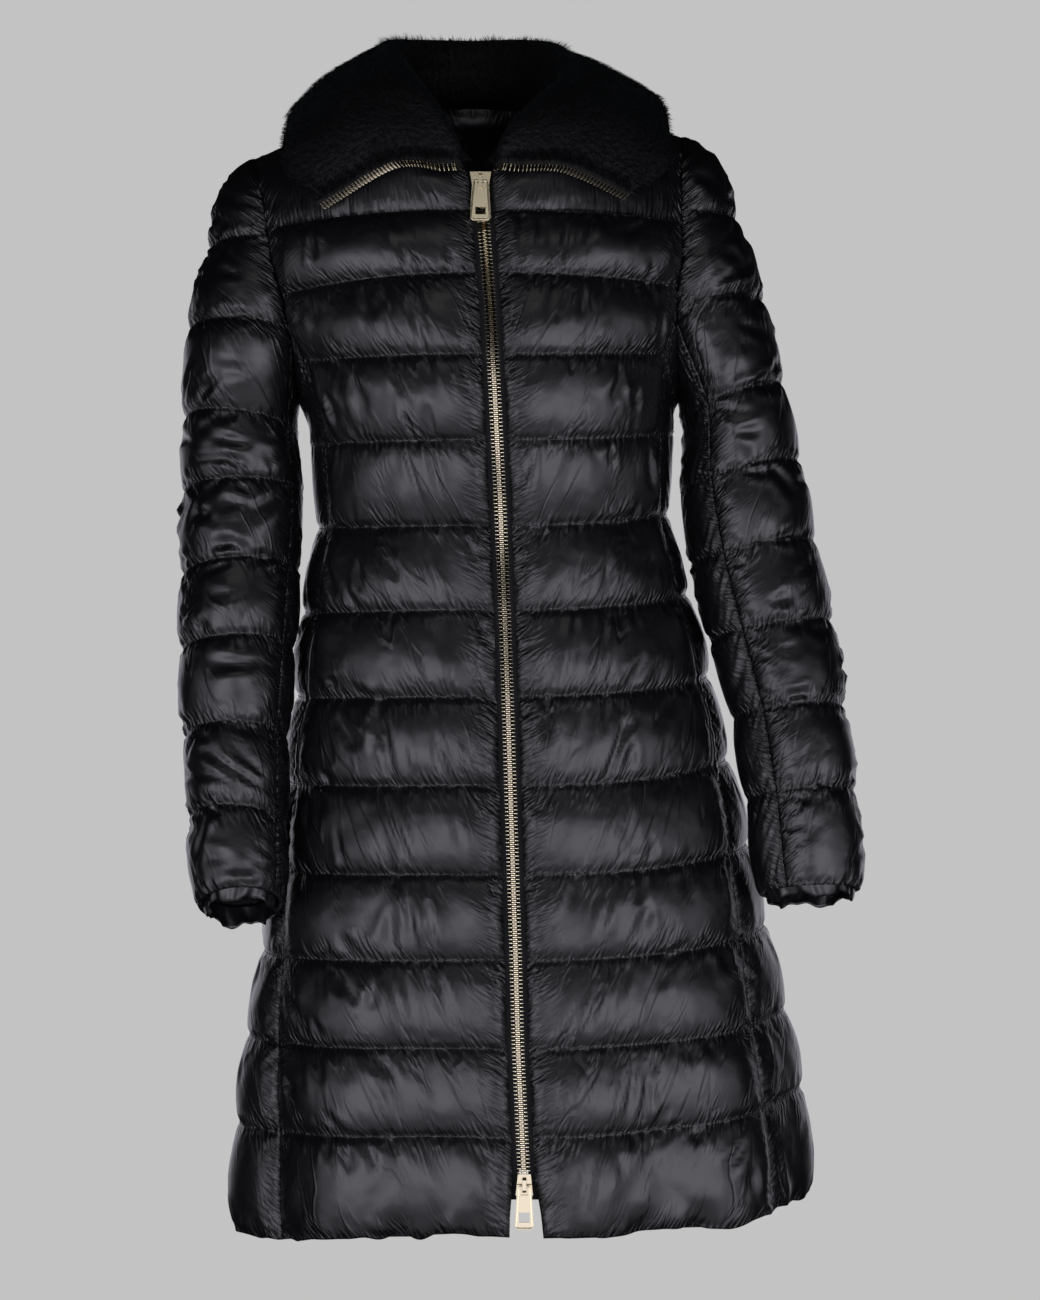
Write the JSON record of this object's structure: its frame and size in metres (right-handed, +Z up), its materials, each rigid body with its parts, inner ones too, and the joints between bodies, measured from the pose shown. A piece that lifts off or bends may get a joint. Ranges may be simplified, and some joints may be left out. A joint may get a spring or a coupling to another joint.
{
  "type": "long puffer coat",
  "caption": "Knee-length quilted puffer coat with a folded fur collar, long sleeves and a two-way front zip, open at neck, cuffs and hem as worn.",
  "frame": {"origin": "middle of the neck opening, level with the neck points of the shoulder seams, where the wearer holds the coat", "axes": "+Z up, the front with the zip faces -Y, the wearer's left is +X"},
  "size_m": [0.5731, 0.3604, 1.0154],
  "materials": {
    "shell": "glossy black woven nylon over padding",
    "fur": "short soft black fur",
    "zip_tape": "matt black woven polyester tape",
    "zip_metal": "polished pale gold"
  },
  "bodies": {
    "coat": {"back": "shell", "front_left": "shell", "front_right": "shell", "side_left": "shell", "side_right": "shell", "sleeve_upper_left": "shell", "sleeve_upper_right": "shell", "sleeve_under_left": "shell", "sleeve_under_right": "shell", "collar_shell": "shell", "collar_fur": "fur", "zip_tape_left": "zip_tape", "zip_tape_right": "zip_tape", "zip_chain": "zip_metal", "zip_collar_left": "zip_metal", "zip_collar_right": "zip_metal", "slider_top": "zip_metal", "slider_bottom": "zip_metal"},
    "pull_top": {"pull_tab_top": "zip_metal"},
    "pull_bottom": {"pull_tab_bottom": "zip_metal"}
  },
  "joints": [
    {"name": "pull_top_hinge", "type": "hinge", "parent": "coat", "child": "pull_top", "pos_m": [0.01179, -0.10432, -0.06709], "axis": [-1, 0, 0], "range_deg": [0, 110]},
    {"name": "pull_bottom_hinge", "type": "hinge", "parent": "coat", "child": "pull_bottom", "pos_m": [0.04749, -0.17856, -0.87979], "axis": [-1, 0, 0], "range_deg": [0, 165]}
  ]
}
